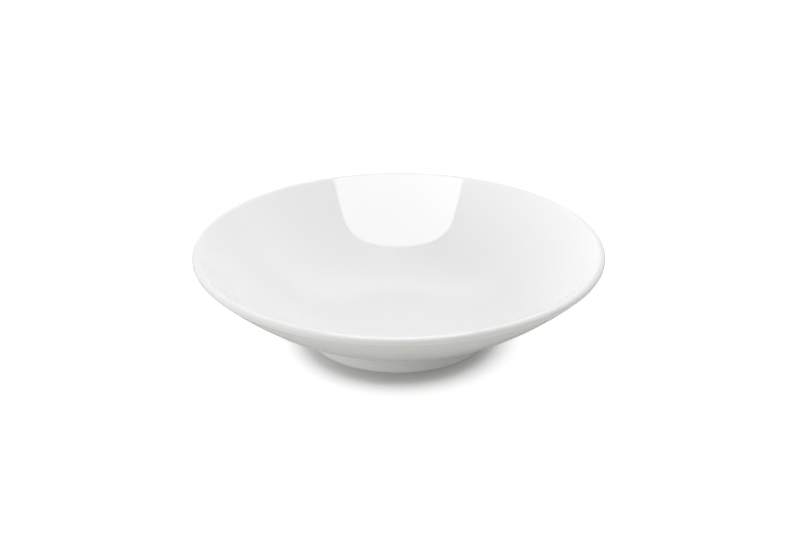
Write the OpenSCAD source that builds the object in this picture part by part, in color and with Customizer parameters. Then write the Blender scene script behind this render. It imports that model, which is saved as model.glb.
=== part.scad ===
// Pasta bowl: a wide, shallow ceramic bowl with a curved wall, a rounded lip and a low foot ring.
// The bowl and the ring are separate clay pieces, stuck together with slip before firing.
// One coat of glaze runs over the inside, the lip and the outside, and a second one lies in the
// recess under the base. The face that the ring stands on is bare.
// Millimetres, +Z up. The origin is the centre of the plane that the bowl stands on.
// Every visible size is measured over the glaze.

/* [Rim] */
// Diameter over the lip
rim_d = 280; // [250:1:310]
// Height from the standing face to the top of the lip
bowl_h = 63.5; // [54:0.5:74]
// Thickness of the wall and of its rounded lip
wall_t = 6.2; // [4:0.1:8]

/* [Wall] */
// Radius of the outer curve of the wall, seen in section
wall_curve_r = 243; // [190:1:330]

/* [Well] */
// Thickness of the base under the flat of the well
base_t = 6.5; // [4.5:0.1:9]
// Radius of the curve that carries the well up into the wall
well_curve_r = 100; // [60:1:130]

/* [Foot] */
// Outer diameter of the foot ring
foot_d = 124; // [104:1:140]
// Height of the ring's outer side, where it would meet the wall
foot_h = 8.9; // [7.5:0.1:12]
// Thickness of the ring
foot_t = 6.5; // [5:0.1:9]
// Bevel along both edges of the standing face
foot_bevel = 0.4; // [0.2:0.1:0.6]
// Radius of the slip fillet between the ring and the wall
foot_fillet_r = 3; // [1.5:0.1:5]
// Height of the recess inside the ring, from the standing face to the base
recess_h = 6.5; // [4.5:0.1:7.5]
// Radius of the slip fillet between the ring and the base
recess_fillet_r = 2; // [1:0.1:3]

/* [Glaze] */
// Thickness of the glaze
glaze_t = 0.3; // [0.2:0.05:0.5]
// Height of the bare strip above the standing face
bare_h = 0.8; // [0.7:0.1:2]

/* [Hidden] */
$fn = 240;

// How far the cutting shapes run past what they cut
overrun = 1;
// How far a fillet's circle sinks into the faces that it blends, so that the edges cross cleanly
blend_sink = 0.03;
// How far the curve of the well stands off the faces that it joins, for the same reason
well_step = 0.02;
// How much the lip's round is larger than half the wall
lip_ease_share = 0.003;
// Where the line between the two coats of glaze falls, across the ring and up the base
coat_split_share = 0.5;

foot_r = foot_d / 2;
foot_inner_r = foot_r - foot_t;
well_h = recess_h + base_t;
lip_half_t = wall_t / 2;
lip_r = lip_half_t * (1 + lip_ease_share);

// The wall's curve touches the lip's round and passes through the top of the foot.
lip_c = [rim_d / 2 - lip_r, bowl_h - lip_r];
foot_top = [foot_r, foot_h];
wall_c = circle_meet(lip_c, wall_curve_r - lip_half_t, foot_top, wall_curve_r);
inner_curve_r = wall_curve_r - wall_t;

// The well's curve touches the flat of the well and the inside of the wall.
well_drop = wall_c.y - well_h - well_curve_r;
well_c = [wall_c.x + sqrt(pow(inner_curve_r - well_curve_r, 2) - pow(well_drop, 2)),
          well_h + well_curve_r];

// The two slip fillets run round the ring, one outside and one in the recess.
fillet_reach = wall_curve_r + foot_fillet_r - blend_sink;
fillet_x = foot_r + foot_fillet_r - blend_sink;
fillet_c = [fillet_x, wall_c.y - sqrt(pow(fillet_reach, 2) - pow(fillet_x - wall_c.x, 2))];
recess_c = [foot_inner_r - recess_fillet_r, recess_h - recess_fillet_r];

// The glazes part in the middle of the ring and in the middle of the base.
split_r = foot_r - foot_t * coat_split_share;
split_h = recess_h + base_t * coat_split_share;

// Unit vector from one point to another
function toward(a, b) = (b - a) / norm(b - a);

// Upper left crossing of two circles, given their centres and radii
function circle_meet(a, ra, b, rb) =
    let (d = norm(b - a), u = toward(a, b), along = (ra * ra - rb * rb + d * d) / (2 * d))
    a + u * along - [-u.y, u.x] * sqrt(ra * ra - along * along);

// Everything above the outside of the wall and of the base, to the right of the axis
// The base stays flat as far as the middle of the ring, whose top is stepped to fit it.
module above_underside(inset) {
    intersection() {
        union() {
            translate(wall_c) circle(wall_curve_r - inset);
            square([split_r, bowl_h]);
        }
        translate([0, recess_h + inset]) square([rim_d, bowl_h]);
    }
}

// The wall's sector up to the middle of the lip, and the lip's round
module below_lip(inset) {
    end = wall_c + toward(wall_c, lip_c) * (wall_curve_r + overrun);
    left = min(wall_c.x, 0) - overrun;
    polygon([[left, wall_c.y], wall_c, end, [end.x, -overrun], [left, -overrun]]);
    translate(lip_c) circle((lip_half_t - inset) * (1 + lip_ease_share));
}

// The space inside the bowl: over the flat of the well, over its curve, and inside the wall
module hollow(inset) {
    turn = wall_c + toward(wall_c, well_c) * wall_curve_r;
    translate([-overrun, well_h - inset]) square([well_c.x + overrun, bowl_h]);
    translate(well_c) circle(well_curve_r + inset - well_step);
    intersection() {
        translate(wall_c) circle(inner_curve_r + inset);
        polygon([wall_c, turn, [rim_d, turn.y], [rim_d, wall_c.y]]);
    }
}

// Section of the wall, lip and base, with all faces set in from the glazed ones
module bowl_section(inset) {
    difference() {
        intersection() {
            above_underside(inset);
            below_lip(inset);
        }
        hollow(inset);
    }
}

// Section of the foot ring and its two fillets, set in at its sides
// Its top follows the underside, or runs on into the wall by the lap, to join without a seam.
module ring_section(inset, lap = 0) {
    inner = foot_inner_r + inset;
    outer = foot_r - inset;
    top = foot_h + foot_fillet_r;
    tip = fillet_c + toward(fillet_c, wall_c) * (foot_fillet_r + overrun);
    difference() {
        union() {
            polygon([[inner + foot_bevel, 0], [outer - foot_bevel, 0], [outer, foot_bevel],
                     [outer, top], [inner, top], [inner, foot_bevel]]);
            difference() {
                polygon([[split_r, fillet_c.y], fillet_c, tip, [split_r, tip.y]]);
                translate(fillet_c) circle(foot_fillet_r + inset);
            }
            difference() {
                polygon([recess_c, [split_r, recess_c.y], [split_r, top], [recess_c.x, top]]);
                translate(recess_c) circle(recess_fillet_r + inset + blend_sink);
            }
        }
        above_underside(inset + lap);
    }
}

// Section of all the glaze, with the bare strip at the standing face left off
module glaze_section() {
    difference() {
        intersection() {
            union() {
                bowl_section(0);
                ring_section(0, glaze_t);
            }
            translate([0, bare_h]) square([rim_d, bowl_h]);
        }
        bowl_section(glaze_t);
        ring_section(glaze_t, glaze_t);
    }
}

// The part of the section that lies in the recess under the base
module recess_side() {
    square([split_r, split_h]);
}

// Fired clay: base, wall and lip, formed in one piece
module bowl_body() {
    color("wheat") rotate_extrude() bowl_section(glaze_t);
}

// Fired clay: the ring that the bowl stands on, shaped to the underside of the wall
module foot_ring() {
    color("tan") rotate_extrude() ring_section(glaze_t);
}

// White glaze over the inside, the lip, the outside of the wall and the ring's outer side
module bowl_glaze() {
    color("white") rotate_extrude() difference() {
        glaze_section();
        recess_side();
    }
}

// White glaze under the base and down the ring's inner side
module base_glaze() {
    color("whitesmoke") rotate_extrude() intersection() {
        glaze_section();
        recess_side();
    }
}

bowl_body();
foot_ring();
bowl_glaze();
base_glaze();
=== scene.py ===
import math

import bpy
from mathutils import Matrix, Vector


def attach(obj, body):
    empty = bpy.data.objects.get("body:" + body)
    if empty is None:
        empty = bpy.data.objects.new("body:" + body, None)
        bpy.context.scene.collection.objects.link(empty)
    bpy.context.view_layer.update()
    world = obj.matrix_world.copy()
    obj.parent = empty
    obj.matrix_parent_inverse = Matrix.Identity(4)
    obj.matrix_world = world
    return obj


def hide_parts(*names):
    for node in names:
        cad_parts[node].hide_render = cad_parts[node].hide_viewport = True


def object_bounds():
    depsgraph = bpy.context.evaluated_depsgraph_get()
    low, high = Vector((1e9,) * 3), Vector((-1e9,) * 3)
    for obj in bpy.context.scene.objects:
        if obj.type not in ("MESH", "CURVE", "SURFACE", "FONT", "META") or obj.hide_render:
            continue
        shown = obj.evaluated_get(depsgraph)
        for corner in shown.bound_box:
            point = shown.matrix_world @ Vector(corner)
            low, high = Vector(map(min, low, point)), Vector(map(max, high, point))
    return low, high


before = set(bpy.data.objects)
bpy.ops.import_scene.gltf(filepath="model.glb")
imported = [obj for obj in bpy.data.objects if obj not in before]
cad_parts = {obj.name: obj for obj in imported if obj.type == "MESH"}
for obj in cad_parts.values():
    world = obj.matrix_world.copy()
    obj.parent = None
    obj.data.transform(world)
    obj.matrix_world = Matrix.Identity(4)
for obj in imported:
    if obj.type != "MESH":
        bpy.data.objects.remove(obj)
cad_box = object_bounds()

scene = bpy.context.scene
scene.view_settings.view_transform = "Standard"

# Bowl body: base, wall and lip of white-firing clay, pressed and turned in one piece and fired.
# The glaze hides it everywhere, so the solid from the frame stays and only gets its finish.

MM = 0.001
CLAY_PALE, CLAY_DARK, CLAY_SPECK = (0.87, 0.86, 0.83, 1), (0.82, 0.80, 0.76, 1), (0.62, 0.57, 0.50, 1)
CLAY_IOR, GRAIN_STRENGTH, GRAIN_DEPTH = 1.45, 0.5, 0.05 * MM


def feed(tree, socket, value):
    """Link a socket to another node's output, or set it to a constant."""
    if isinstance(value, bpy.types.NodeSocket):
        tree.links.new(value, socket)
    else:
        socket.default_value = value


def add(tree, kind, *values, **settings):
    """A new node. Values feed its sockets in order, and keys with a capital feed the sockets
    that they name. Other keys set its properties."""
    node = tree.nodes.new(kind)
    for key, value in settings.items():
        if key[0].islower():
            setattr(node, key, value)
    for place, value in enumerate(values):
        feed(tree, node.inputs[place], value)
    for key, value in settings.items():
        if key[0].isupper():
            feed(tree, node.inputs[key.replace("_", " ")], value)
    return node


def span(tree, value, **limits):
    """A value carried from one range to another and held at its ends."""
    return add(tree, "ShaderNodeMapRange", Value=value, **limits).outputs["Result"]


def blend(tree, share, a, b, kind="RGBA"):
    """The first value where the share is 0, the second where it is 1."""
    return add(tree, "ShaderNodeMix", data_type=kind, Factor=share, A=a, B=b).outputs["Result"]


def shader_group(name, inputs):
    """A shader node group with the given inputs, still empty, that puts out a finish."""
    tree = bpy.data.node_groups.new(name, "ShaderNodeTree")
    for title, value in inputs.items():
        kind = "NodeSocketColor" if isinstance(value, tuple) else "NodeSocketFloat"
        socket = tree.interface.new_socket(title, in_out="INPUT", socket_type=kind)
        socket.default_value = value
    for title, kind in (("Colour", "Color"), ("Roughness", "Float"), ("Height", "Float")):
        tree.interface.new_socket(title, in_out="OUTPUT", socket_type="NodeSocket" + kind)
    return tree, tree.nodes.new("NodeGroupInput").outputs, tree.nodes.new("NodeGroupOutput").inputs


def new_material(name, **sockets):
    """A material with its Principled BSDF, whose constant sockets are set here."""
    material = bpy.data.materials.new(name)
    material.use_nodes = True
    tree = material.node_tree
    surface = tree.nodes["Principled BSDF"]
    for key, value in sockets.items():
        feed(tree, surface.inputs[key.replace("_", " ")], value)
    return material, tree, surface


def dress(tree, surface, finish, strength, depth):
    """Give a surface the colour, the roughness and the relief that a group puts out."""
    relief = add(tree, "ShaderNodeBump", Strength=strength, Distance=depth, Height=finish["Height"])
    feed(tree, surface.inputs["Base Color"], finish["Colour"])
    feed(tree, surface.inputs["Roughness"], finish["Roughness"])
    feed(tree, surface.inputs["Normal"], relief.outputs["Normal"])


def clay_grain_group():
    """Fired clay: mottled colour, grog specks, and a dry grainy surface."""
    tree, given, out = shader_group(
        "clay_grain", {"Pale": CLAY_PALE, "Dark": CLAY_DARK, "Speck": CLAY_SPECK})
    place = add(tree, "ShaderNodeTexCoord").outputs["Object"]
    cloud = add(tree, "ShaderNodeTexNoise", Vector=place, Scale=140, Detail=4, Roughness=0.6)
    grain = add(tree, "ShaderNodeTexNoise", Vector=place, Scale=2600, Detail=3, Roughness=0.7)
    grog = add(tree, "ShaderNodeTexVoronoi", Vector=place, Scale=900)
    mottle = span(tree, cloud.outputs["Fac"], From_Min=0.35, From_Max=0.7)
    mottled = blend(tree, mottle, given["Pale"], given["Dark"])
    dot = span(tree, grog.outputs["Distance"], From_Min=0.16, From_Max=0.08, To_Max=0.5)
    feed(tree, out["Colour"], blend(tree, dot, mottled, given["Speck"]))
    feed(tree, out["Roughness"], span(tree, grain.outputs["Fac"], To_Min=0.72, To_Max=0.92))
    feed(tree, out["Height"], grain.outputs["Fac"])
    return tree


fired_clay, tree, surface = new_material("fired_clay", IOR=CLAY_IOR)
grain = add(tree, "ShaderNodeGroup", node_tree=clay_grain_group())
dress(tree, surface, grain.outputs, GRAIN_STRENGTH, GRAIN_DEPTH)

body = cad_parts["bowl_body"]
body.data.materials.clear()
body.data.materials.append(fired_clay)

# Foot ring: a turned ring of the same clay, stuck under the wall with slip before firing.
# Its standing face is left bare, so the clay shows there, with eased and rubbed edges.

RIM_R, BOWL_H = min(-cad_box[0][0], cad_box[1][0]) / MM, cad_box[1][2] / MM
# LIP_EASE sets the round of the lip in by a hair, so that it stays inside the solid's size.
WALL_T, WALL_CURVE_R, LIP_EASE = 6.2, 243.0, 1.003
FOOT_R, FOOT_H, FOOT_T, FOOT_BEVEL, FOOT_FILLET_R = 62.0, 8.9, 6.5, 0.4, 3.0
RECESS_H, RECESS_FILLET_R = 6.5, 2.0
GLAZE_T = 0.3
SEGMENTS, FILLET_STEPS, RECESS_FILLET_STEPS = 256, 14, 10
SEAT_STEPS, BEVEL_STEPS, STAND_STEPS = 12, 8, 6
SAME_POINT, ON_AXIS, RING_CREASE = 1e-4, 1e-6, math.radians(35)


def toward(a, b):
    """The way from one point to another, one unit long."""
    return (Vector(b) - Vector(a)).normalized()


def heading(a, b):
    """The angle of the way from one point to another."""
    return math.atan2(b[1] - a[1], b[0] - a[0])


def circle_meet(a, ra, b, rb):
    """The upper left crossing of two circles in the section."""
    d = (Vector(b) - Vector(a)).length
    u = toward(a, b)
    along = (ra * ra - rb * rb + d * d) / (2 * d)
    return Vector(a) + u * along - Vector((-u.y, u.x)) * math.sqrt(ra * ra - along * along)


def arc(centre, radius, start, end, steps):
    """Points of an arc in the section, angles in radians."""
    angles = [start + (end - start) * i / steps for i in range(steps + 1)]
    return [(centre[0] + radius * math.cos(a), centre[1] + radius * math.sin(a)) for a in angles]


def line(a, b, steps):
    """Points of a straight run in the section."""
    across, up = b[0] - a[0], b[1] - a[1]
    return [(a[0] + across * i / steps, a[1] + up * i / steps) for i in range(steps + 1)]


def joined(*runs):
    """The runs of points one after the other, with the doubled ends dropped."""
    points = []
    for run in runs:
        for p in run:
            if not points or math.dist(p, points[-1]) > SAME_POINT:
                points.append(p)
    return points


def turned(name, section, material, crease):
    """A closed section in millimetres, turned round the axis into a smooth mesh in metres."""
    rings, verts, faces = [], [], []
    for r, z in section:
        if r < ON_AXIS:
            rings.append([len(verts)] * SEGMENTS)
            verts.append((0, 0, z * MM))
            continue
        rings.append(list(range(len(verts), len(verts) + SEGMENTS)))
        for k in range(SEGMENTS):
            a = 2 * math.pi * k / SEGMENTS
            verts.append((r * math.sin(a) * MM, -r * math.cos(a) * MM, z * MM))
    for i, ring in enumerate(rings):
        ahead = rings[(i + 1) % len(rings)]
        for k in range(SEGMENTS):
            n = (k + 1) % SEGMENTS
            corners = dict.fromkeys((ring[k], ring[n], ahead[n], ahead[k]))
            if len(corners) > 2:
                faces.append(tuple(corners))
    mesh = bpy.data.meshes.new(name)
    mesh.from_pydata(verts, [], faces)
    mesh.update()
    mesh.shade_smooth()
    mesh.set_sharp_from_angle(angle=crease)
    mesh.materials.append(material)
    piece = bpy.data.objects.new(name, mesh)
    scene.collection.objects.link(piece)
    return piece


LIP_HALF_T = WALL_T / 2
LIP_C = Vector((RIM_R - LIP_HALF_T * LIP_EASE, BOWL_H - LIP_HALF_T * LIP_EASE))
WALL_C = circle_meet(LIP_C, WALL_CURVE_R - LIP_HALF_T, (FOOT_R, FOOT_H), WALL_CURVE_R)
FILLET_X = FOOT_R + FOOT_FILLET_R
FILLET_REACH = WALL_CURVE_R + FOOT_FILLET_R
FILLET_DROP = math.sqrt(FILLET_REACH ** 2 - (FILLET_X - WALL_C.x) ** 2)
FILLET_C = Vector((FILLET_X, WALL_C.y - FILLET_DROP))
WALL_FOOT_ANGLE = heading(WALL_C, FILLET_C)
RECESS_R = FOOT_R - FOOT_T
RECESS_C = Vector((RECESS_R - RECESS_FILLET_R, RECESS_H - RECESS_FILLET_R))
# The ring's stepped top seats against the wall outside this radius and the base inside it.
SPLIT_R = FOOT_R - FOOT_T / 2


def fillet_outside(inset):
    """The slip fillet between the ring and the wall, from the ring upward."""
    top = heading(FILLET_C, WALL_C)
    return arc(FILLET_C, FOOT_FILLET_R + inset, math.pi, top, FILLET_STEPS)


def fillet_recess(inset):
    """The slip fillet in the recess, from the base down to the ring."""
    return arc(RECESS_C, RECESS_FILLET_R + inset, math.pi / 2, 0, RECESS_FILLET_STEPS)


def ring_section():
    """Clay ring under its glaze, the edges of the standing face eased."""
    inner, outer, ease = RECESS_R + GLAZE_T, FOOT_R - GLAZE_T, FOOT_BEVEL
    stand_in = arc((inner + ease, ease), ease, math.pi, 1.5 * math.pi, BEVEL_STEPS)
    stand = line((inner + ease, 0), (outer - ease, 0), STAND_STEPS)
    stand_out = arc((outer - ease, ease), ease, 1.5 * math.pi, 2 * math.pi, BEVEL_STEPS)
    reach = WALL_CURVE_R - GLAZE_T
    split_angle = -math.acos((SPLIT_R - WALL_C.x) / reach)
    under_wall = arc(WALL_C, reach, WALL_FOOT_ANGLE, split_angle, SEAT_STEPS)
    under_base = [(SPLIT_R, RECESS_H + GLAZE_T)]
    return joined(stand_in, stand, stand_out, fillet_outside(GLAZE_T), under_wall, under_base,
                  fillet_recess(GLAZE_T))


foot = turned("foot_ring_clay", ring_section(), fired_clay, RING_CREASE)
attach(foot, "root")
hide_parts("foot_ring")

# Bowl glaze: one unbroken coat of glossy white glaze, poured over the inside, the lip, the
# outside and the ring's side, and wiped off in a rolled edge above the standing face.

BASE_T, WELL_CURVE_R, BARE_H = 6.5, 100.0, 0.8
GLAZE_WHITE, GLAZE_DEEP = (0.88, 0.88, 0.878, 1), (0.866, 0.872, 0.870, 1)
GLAZE_THIN = (0.875, 0.870, 0.858, 1)
GLAZE_IOR, GLAZE_ROUGHNESS, GLAZE_HAZE = 1.52, 0.02, 0.015
# How far up from the well the glaze pools, and how far down from the lip it is thin.
POOL_H, POOL_SHARE, THIN_H, THIN_SHARE = 9 * MM, 0.5, 1.2 * MM, 0.7
# The heights of the relief are in its own unit. The waves set in between the two heights above
# the floor, and only the rarest cells of the pattern have a pinhole, with its edge at PIT_EDGE.
RELIEF_STRENGTH, RELIEF_UNIT = 1.0, 1.0 * MM
WAVE_HEIGHT, PEEL_HEIGHT, PIT_HEIGHT = 0.015, 0.0006, -0.03
WAVES_FROM, WAVES_FULL = 14 * MM, 36 * MM
PIT_RARITY, PIT_EDGE = 0.93, (0.006, 0.014)
WALL_STEPS, LIP_STEPS, WELL_STEPS = 72, 28, 36
HIDDEN_WALL_STEPS, HIDDEN_LIP_STEPS, HIDDEN_WELL_STEPS = 36, 10, 18
SIDE_STEPS, ROLL_STEPS, COAT_CREASE = 4, 6, math.radians(60)


def maths(tree, operation, *values, **settings):
    """The result of a Math node on constants or linked values."""
    return add(tree, "ShaderNodeMath", *values, operation=operation, **settings).outputs[0]


def glaze_flow_group():
    """White glaze: thin and warm on the lip and deeper in the well, with slow waves, a fine
    peel and rare pinholes."""
    tree, given, out = shader_group("glaze_flow", {
        "White": GLAZE_WHITE, "Deep": GLAZE_DEEP, "Thin": GLAZE_THIN, "Lip Height": 0.0,
        "Well Height": 0.0, "Wave": 0.0, "Peel": 0.0, "Smoothest": GLAZE_ROUGHNESS})
    place = add(tree, "ShaderNodeTexCoord").outputs["Object"]
    z = add(tree, "ShaderNodeSeparateXYZ", place).outputs["Z"]
    wave = add(tree, "ShaderNodeTexNoise", Vector=place, Scale=45, Detail=1, Roughness=0.4)
    peel = add(tree, "ShaderNodeTexNoise", Vector=place, Scale=600, Detail=2, Roughness=0.5)
    cloud = add(tree, "ShaderNodeTexNoise", Vector=place, Scale=22, Detail=3, Roughness=0.55)
    pores = add(tree, "ShaderNodeTexVoronoi", Vector=place, Scale=70)

    pool_top = maths(tree, "ADD", given["Well Height"], POOL_H)
    pooled = span(tree, z, From_Min=given["Well Height"], From_Max=pool_top, To_Min=1, To_Max=0,
                  interpolation_type="SMOOTHSTEP")
    depth = maths(tree, "MULTIPLY_ADD", pooled, POOL_SHARE, cloud.outputs["Fac"], use_clamp=True)
    coat = blend(tree, depth, given["White"], given["Deep"])
    thin_from = maths(tree, "SUBTRACT", given["Lip Height"], THIN_H)
    thin = span(tree, z, From_Min=thin_from, From_Max=given["Lip Height"], To_Max=THIN_SHARE,
                interpolation_type="SMOOTHSTEP")
    feed(tree, out["Colour"], blend(tree, thin, coat, given["Thin"]))

    free = span(tree, z, From_Min=WAVES_FROM, From_Max=WAVES_FULL, interpolation_type="SMOOTHSTEP")
    swell = maths(tree, "MULTIPLY", free, given["Wave"])
    slow = maths(tree, "MULTIPLY", wave.outputs["Fac"], swell)
    fine = maths(tree, "MULTIPLY_ADD", peel.outputs["Fac"], given["Peel"], slow)
    cell = add(tree, "ShaderNodeSeparateColor", pores.outputs["Color"]).outputs["Red"]
    chosen = maths(tree, "GREATER_THAN", cell, PIT_RARITY)
    pit = span(tree, pores.outputs["Distance"], From_Min=PIT_EDGE[0], From_Max=PIT_EDGE[1],
               To_Min=PIT_HEIGHT, To_Max=0)
    feed(tree, out["Height"], maths(tree, "MULTIPLY_ADD", pit, chosen, fine))

    haze = maths(tree, "MULTIPLY_ADD", cloud.outputs["Fac"], GLAZE_HAZE, given["Smoothest"])
    feed(tree, out["Roughness"], haze)
    return tree


WELL_H = RECESS_H + BASE_T
white_glaze, tree, surface = new_material("white_glaze", IOR=GLAZE_IOR)
flow = add(tree, "ShaderNodeGroup", node_tree=glaze_flow_group(), Lip_Height=BOWL_H * MM,
           Well_Height=WELL_H * MM, Wave=WAVE_HEIGHT, Peel=PEEL_HEIGHT)
dress(tree, surface, flow.outputs, RELIEF_STRENGTH, RELIEF_UNIT)

WELL_DROP = WALL_C.y - WELL_H - WELL_CURVE_R
WELL_REACH = math.sqrt((WALL_CURVE_R - WALL_T - WELL_CURVE_R) ** 2 - WELL_DROP ** 2)
WELL_C = Vector((WALL_C.x + WELL_REACH, WELL_H + WELL_CURVE_R))


def glazed_face(inset, wall_steps, lip_steps, well_steps):
    """From the ring's side over the wall, the lip and the well to the axis, set in by inset."""
    lip_angle = heading(WALL_C, LIP_C)
    well_angle = heading(WALL_C, WELL_C)
    outside = arc(WALL_C, WALL_CURVE_R - inset, WALL_FOOT_ANGLE, lip_angle, wall_steps)
    lip = arc(LIP_C, LIP_HALF_T - inset, lip_angle, lip_angle + math.pi, lip_steps)
    inside = arc(WALL_C, WALL_CURVE_R - WALL_T + inset, lip_angle, well_angle, wall_steps)
    well = arc(WELL_C, WELL_CURVE_R + inset, well_angle, -math.pi / 2, well_steps)
    flat = line((WELL_C.x, WELL_H - inset), (0, WELL_H - inset), well_steps // 2)
    return joined(fillet_outside(inset), outside, lip, inside, well, flat)


def rolled_edge(x, side):
    """The rounded lower edge of a coat that ends on the ring's side, from outside to inside."""
    start, end = (0, -math.pi / 2) if side > 0 else (math.pi, 1.5 * math.pi)
    return arc((x - side * GLAZE_T, BARE_H + GLAZE_T), GLAZE_T, start, end, ROLL_STEPS)


side_rise = line((FOOT_R, BARE_H + GLAZE_T), (FOOT_R, FILLET_C.y), SIDE_STEPS)
shown = glazed_face(0, WALL_STEPS, LIP_STEPS, WELL_STEPS)
hidden = glazed_face(GLAZE_T, HIDDEN_WALL_STEPS, HIDDEN_LIP_STEPS, HIDDEN_WELL_STEPS)
section = joined(rolled_edge(FOOT_R, 1)[::-1], side_rise, shown, hidden[::-1])
coat = turned("bowl_glaze_coat", section, white_glaze, COAT_CREASE)
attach(coat, "root")
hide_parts("bowl_glaze")

# Base glaze: the same glaze poured into the recess under the base and down the ring's inner
# side. The bare standing face keeps it apart from the coat outside.

BASE_STEPS, HIDDEN_BASE_STEPS = 16, 8
HIDDEN_R, HIDDEN_H = RECESS_R + GLAZE_T, RECESS_H + GLAZE_T
shown = line((0, RECESS_H), (RECESS_C.x, RECESS_H), BASE_STEPS)
down = line((RECESS_R, RECESS_C.y), (RECESS_R, BARE_H + GLAZE_T), SIDE_STEPS)
up = line((HIDDEN_R, BARE_H), (HIDDEN_R, RECESS_C.y), SIDE_STEPS)
hidden = line((RECESS_C.x, HIDDEN_H), (0, HIDDEN_H), HIDDEN_BASE_STEPS)
section = joined(shown, fillet_recess(0), down, rolled_edge(RECESS_R, -1), up,
                 fillet_recess(GLAZE_T)[::-1], hidden)
base = turned("base_glaze_coat", section, white_glaze, COAT_CREASE)
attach(base, "root")
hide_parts("base_glaze")

# Floor and light: a plain white sweep in a white room, with a soft panel overhead.
# The floor shows white to the camera, and its white fades toward the foot: a painted shadow
# that deepens the bowl's real shadow there. It is clear from below, and open under the ring to
# show the underside.

WHITE, BLACK = (1, 1, 1, 1), (0, 0, 0, 1)
FLOOR_HALF, FLOOR_OPEN_R = 6.0, (FOOT_R - FOOT_T / 4) * MM
FLOOR_WHITE, FLOOR_BOUNCE, FLOOR_IN_GLOSS = (0.75, 0.75, 0.75, 1), (0.78, 0.786, 0.747, 1), 0.13
# In the painted shadow the white comes back over SHADOW_REACH, round an oval that is narrower across.
SHADOW_ACROSS, SHADOW_REACH = 1.17, 50.0
SHADOW_IN, SHADOW_OUT = FOOT_R * MM, (FOOT_R + SHADOW_REACH) * MM
PAINTED_SHADOW_FADE = ((0.05, 0.0), (0.20, 0.07), (0.30, 0.18), (0.41, 0.41), (0.54, 0.60), (0.66, 0.70),
               (0.8, 0.75))
# Light that skims along the inside of the wall bounces more often than the default allows.
GLOSSY_BOUNCES = 12
scene.cycles.glossy_bounces = GLOSSY_BOUNCES


def flat_face(name, points, material):
    """One flat face through the given points."""
    mesh = bpy.data.meshes.new(name)
    mesh.from_pydata(points, [], [tuple(range(len(points)))])
    mesh.materials.append(material)
    piece = bpy.data.objects.new(name, mesh)
    scene.collection.objects.link(piece)
    return piece


def stops(ramp, points):
    """Grey stops of a colour ramp, as pairs of place and level."""
    spare = ramp.elements
    while len(spare) > 1:
        spare.remove(spare[-1])
    for i, (place, level) in enumerate(points):
        stop = spare[0] if i == 0 else spare.new(place)
        stop.position = place
        stop.color = (level, level, level, 1)


def mirrored(tree, rays):
    """1 for rays that come from a reflection or through glass."""
    return maths(tree, "MAXIMUM", rays["Is Glossy Ray"], rays["Is Transmission Ray"])


white_floor, tree, surface = new_material("white_floor", Roughness=1, Specular_IOR_Level=0,
                                          Emission_Color=WHITE)
place = add(tree, "ShaderNodeTexCoord").outputs["Object"]
rays = add(tree, "ShaderNodeLightPath").outputs
colour = blend(tree, rays["Is Camera Ray"], FLOOR_BOUNCE, FLOOR_WHITE)
feed(tree, surface.inputs["Base Color"], colour)
oval = add(tree, "ShaderNodeVectorMath", place, (SHADOW_ACROSS, 1, 0), operation="MULTIPLY")
away = add(tree, "ShaderNodeVectorMath", oval.outputs["Vector"], operation="LENGTH")
reach = span(tree, away.outputs["Value"], From_Min=SHADOW_IN, From_Max=SHADOW_OUT)
fade = add(tree, "ShaderNodeValToRGB", reach)
stops(fade.color_ramp, PAINTED_SHADOW_FADE)
# Painted shadow: the camera's white is turned down round the foot by the fade.
seen = maths(tree, "MULTIPLY", rays["Is Camera Ray"], fade.outputs["Color"])
white = maths(tree, "MULTIPLY_ADD", mirrored(tree, rays), FLOOR_IN_GLOSS, seen)
feed(tree, surface.inputs["Emission Strength"], white)
from_axis = add(tree, "ShaderNodeVectorMath", place, operation="LENGTH")
under_ring = maths(tree, "LESS_THAN", from_axis.outputs["Value"], FLOOR_OPEN_R)
from_below = add(tree, "ShaderNodeNewGeometry").outputs["Backfacing"]
opening = maths(tree, "MAXIMUM", from_below, under_ring)
clear = add(tree, "ShaderNodeBsdfTransparent").outputs["BSDF"]
either = add(tree, "ShaderNodeMixShader", opening, surface.outputs["BSDF"], clear)
feed(tree, tree.nodes["Material Output"].inputs["Surface"], either.outputs["Shader"])
# The floor's own white is only shown, so it isn't sampled as a lamp.
white_floor.cycles.emission_sampling = "NONE"
corners = [(x * FLOOR_HALF, y * FLOOR_HALF, 0) for x, y in ((-1, -1), (1, -1), (1, 1), (-1, 1))]
floor = flat_face("floor", corners, white_floor)

PANEL_Z, PANEL_CORNER_R, PANEL_CORNER_STEPS, PANEL_GLOW = 1.0, 0.14, 10, 4.4
PANEL_FRONT_Y, PANEL_BACK_Y, PANEL_FRONT_HALF, PANEL_BACK_HALF = -0.42, 0.236, 0.475, 0.249


def rounded(corners, radius, steps):
    """An outline through the given corners, each rounded by an arc."""
    points = []
    for i, corner in enumerate(corners):
        back = toward(corner, corners[i - 1])
        ahead = toward(corner, corners[(i + 1) % len(corners)])
        half = back.angle(ahead) / 2
        centre = Vector(corner) + (back + ahead).normalized() * radius / math.sin(half)
        run = radius / math.tan(half)
        start = heading(centre, Vector(corner) + back * run)
        end = heading(centre, Vector(corner) + ahead * run)
        sweep = (end - start + math.pi) % (2 * math.pi) - math.pi
        points += arc(centre, radius, start, start + sweep, steps)
    return points


corners = [(-PANEL_BACK_HALF, PANEL_BACK_Y), (PANEL_BACK_HALF, PANEL_BACK_Y),
           (PANEL_FRONT_HALF, PANEL_FRONT_Y), (-PANEL_FRONT_HALF, PANEL_FRONT_Y)]
outline = rounded(corners, PANEL_CORNER_R, PANEL_CORNER_STEPS)
glow, tree, surface = new_material("panel_glow", Base_Color=BLACK, Emission_Color=WHITE,
                                   Emission_Strength=PANEL_GLOW, Specular_IOR_Level=0)
panel = flat_face("soft_panel", [(x, y, PANEL_Z) for x, y in outline], glow)
panel.visible_camera = False
panel.visible_shadow = False

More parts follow.
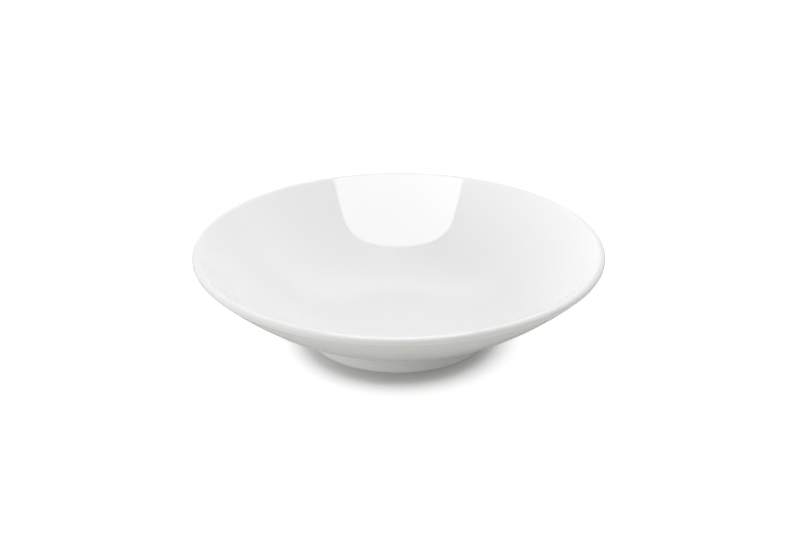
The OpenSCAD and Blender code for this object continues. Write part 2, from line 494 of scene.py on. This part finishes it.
# The room is brighter low at the left and high at the back, and dark in the front right corner.
# Heights are shares of a right angle. Each patch of light or dark lies round a level direction,
# and a larger focus makes it narrower.
RIGHT_ANGLE = 90
WALL_LEVEL, WALL_TOP = 1.0, 28 / RIGHT_ANGLE
CEILING_IN_GLOSS, CEILING_START = 0.8, 40 / RIGHT_ANGLE
LEFT_SIDE, LEFT_LOW, LEFT_MID, LEFT_FOCUS = (-0.92, -0.38, 0), 2.0, -0.7, 2
LEFT_LOW_TOP, LEFT_MID_START = 8 / RIGHT_ANGLE, 20 / RIGHT_ANGLE
DARK_CORNER, CORNER_LESS, CORNER_FOCUS = (0.71, -0.71, 0), -1.0, 7
HIGH_SIDE, HIGH_MORE, HIGH_FOCUS = (0.3, 0.954, 0), 1.0, 2
BELOW_LEVEL, BELOW_START = 0.35, -0.01
world = bpy.data.worlds.new("studio")
scene.world = world
world.use_nodes = True
tree = world.node_tree
sky = tree.nodes["Background"]
feed(tree, sky.inputs["Color"], WHITE)
facing = add(tree, "ShaderNodeTexCoord").outputs["Generated"]
level_way = add(tree, "ShaderNodeVectorMath", facing, (1, 1, 0), operation="MULTIPLY")
way = add(tree, "ShaderNodeVectorMath", level_way.outputs["Vector"], operation="NORMALIZE")
rise = maths(tree, "ARCSINE", add(tree, "ShaderNodeSeparateXYZ", facing).outputs["Z"])
climb = maths(tree, "MULTIPLY", rise, 2 / math.pi)
rays = add(tree, "ShaderNodeLightPath").outputs


def toward_side(side, focus, gain, rest):
    """rest plus a soft patch of the given gain round one level direction of the room."""
    share = add(tree, "ShaderNodeVectorMath", way.outputs["Vector"], side, operation="DOT_PRODUCT")
    ahead = maths(tree, "MAXIMUM", share.outputs["Value"], 0)
    patch = maths(tree, "POWER", ahead, focus)
    return maths(tree, "MULTIPLY_ADD", patch, gain, rest)


left = span(tree, climb, From_Min=LEFT_LOW_TOP, From_Max=LEFT_MID_START, To_Min=LEFT_LOW,
            To_Max=LEFT_MID)
walls = toward_side(LEFT_SIDE, LEFT_FOCUS, left, WALL_LEVEL)
walls = toward_side(DARK_CORNER, CORNER_FOCUS, CORNER_LESS, walls)
pale = maths(tree, "MULTIPLY", mirrored(tree, rays), CEILING_IN_GLOSS)
ceiling = toward_side(HIGH_SIDE, HIGH_FOCUS, HIGH_MORE, pale)
high = span(tree, climb, From_Min=WALL_TOP, From_Max=CEILING_START)
room = blend(tree, high, walls, ceiling, "FLOAT")
dimmed = span(tree, climb, From_Min=BELOW_START, From_Max=0, To_Min=BELOW_LEVEL, To_Max=1)
lit_room = maths(tree, "MULTIPLY", room, dimmed)
feed(tree, sky.inputs["Strength"], blend(tree, rays["Is Camera Ray"], lit_room, 1.0, "FLOAT"))

# Camera: a long lens in front of the bowl and above it, looking down into the hollow.
# Its distance, height and roll show the rim and the foot as the photograph does.

CAMERA_D, CAMERA_EL, CAMERA_ROLL = 1.5346, math.radians(25.98), math.radians(-0.106)
AIM = Vector((0.00088, 0, 0.0498))
LENS_MM, SENSOR_MM, NEAREST, FARTHEST = 100, 36, 0.05, 50
lens = bpy.data.cameras.new("camera")
lens.lens, lens.sensor_width = LENS_MM, SENSOR_MM
lens.clip_start, lens.clip_end = NEAREST, FARTHEST
camera = bpy.data.objects.new("camera", lens)
scene.collection.objects.link(camera)
stand = Vector((0, -CAMERA_D * math.cos(CAMERA_EL), CAMERA_D * math.sin(CAMERA_EL)))
turn = (AIM - stand).to_track_quat("-Z", "Y").to_matrix().to_4x4()
camera.matrix_world = Matrix.Translation(stand) @ turn @ Matrix.Rotation(CAMERA_ROLL, 4, "Z")
scene.camera = camera
